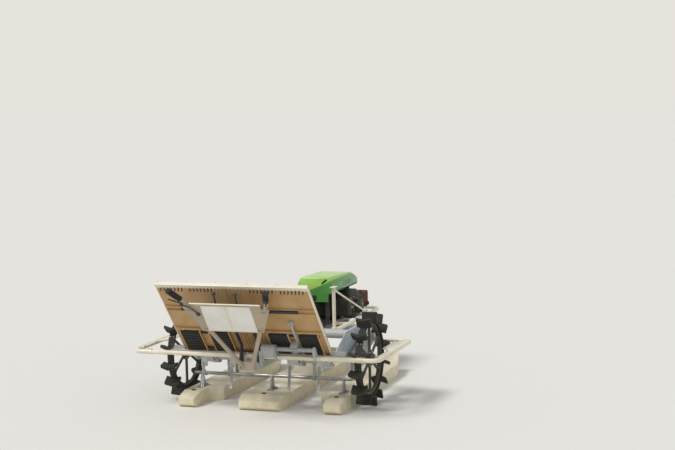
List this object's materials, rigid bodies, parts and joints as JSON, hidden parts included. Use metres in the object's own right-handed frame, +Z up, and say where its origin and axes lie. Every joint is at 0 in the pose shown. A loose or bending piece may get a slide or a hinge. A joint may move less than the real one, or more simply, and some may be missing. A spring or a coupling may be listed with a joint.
{
  "type": "rice transplanter",
  "caption": "Walk-behind rice transplanter with a sloping seedling tray, planting arms, floats, lugged drive wheels, engine under a hood and a forked handlebar.",
  "frame": {"origin": "on the ground under the middle of the machine's overall length, in its middle plane", "axes": "+X forward, away from the operator, +Y to the machine's left, +Z up"},
  "size_m": [2.48, 1.7, 0.8834],
  "materials": {
    "frame_dark": "satin black enamel",
    "frame_cream": "gloss cream enamel, scratched",
    "cast_grey": "painted light grey castings",
    "engine_black": "matt black engine paint",
    "muffler_brown": "rusted sheet steel",
    "hood_green": "two-tone green moulding",
    "wheel_dark": "dark enamel, worn",
    "lug_rubber": "moulded rubber lugs",
    "guard_grey": "pale blue-grey sheet",
    "steel_bare": "zinc plated steel",
    "arm_alloy": "painted die casting",
    "float_cream": "blow-moulded resin",
    "tray_tan": "moulded resin",
    "rail_cream": "moulded resin",
    "belt_rubber": "lugged rubber belt",
    "grip_rubber": "moulded rubber",
    "frame_beige": "grey-beige enamel",
    "panel_beige": "moulded resin",
    "plate_white": "bare white plate"
  },
  "bodies": {
    "chassis": {"main_frame": "frame_dark", "guard_hoop": "frame_cream", "tow_lug": "frame_dark", "rack_post_left": "frame_cream", "rack_post_right": "frame_cream", "gear_case": "cast_grey", "axle_tubes": "cast_grey", "swing_case_left": "cast_grey", "swing_case_right": "cast_grey", "engine_block": "engine_black", "fan_cowl": "engine_black", "muffler": "muffler_brown", "air_cleaner": "engine_black", "fuel_tank": "engine_black", "belt_cover": "engine_black", "engine_bed": "guard_grey", "mudguards": "guard_grey", "planter_drive": "cast_grey", "cranks": "steel_bare", "planting_arm_1": "arm_alloy", "planting_arm_2": "arm_alloy", "planting_arm_3": "arm_alloy", "planting_arm_4": "arm_alloy", "forks": "steel_bare", "guide_rail": "steel_bare", "tray_support": "frame_dark", "feed_screw": "cast_grey", "rear_bar": "frame_cream", "side_guard_left": "frame_cream", "side_guard_right": "frame_cream", "centre_float": "float_cream", "side_float_left": "float_cream", "side_float_right": "float_cream", "float_links": "steel_bare", "handlebar": "frame_beige", "grips": "grip_rubber", "levers": "frame_dark", "back_panel": "panel_beige", "plates": "plate_white"},
    "wheel_left": {"wheel_left": "wheel_dark", "lugs_left": "lug_rubber"},
    "wheel_right": {"wheel_right": "wheel_dark", "lugs_right": "lug_rubber"},
    "tray": {"tray_left": "tray_tan", "tray_right": "tray_tan", "tray_centre": "tray_tan", "tray_top_rail": "rail_cream", "feed_belts": "belt_rubber", "tray_follower": "cast_grey"},
    "hood": {"hood": "hood_green"}
  },
  "joints": [
    {"name": "wheel_left_spin", "type": "hinge", "parent": "chassis", "child": "wheel_left", "pos_m": [-0.27, 0.65, 0.305], "axis": [0, 1, 0], "continuous": true},
    {"name": "wheel_right_spin", "type": "hinge", "parent": "chassis", "child": "wheel_right", "pos_m": [-0.27, -0.65, 0.305], "axis": [0, 1, 0], "continuous": true},
    {"name": "tray_slide", "type": "slide", "parent": "chassis", "child": "tray", "axis": [0, 1, 0], "range_m": [-0.09, 0.09]},
    {"name": "hood_hinge", "type": "hinge", "parent": "chassis", "child": "hood", "pos_m": [1.071, 0, 0.592], "axis": [0, 1, 0], "range_deg": [0, 65]}
  ]
}
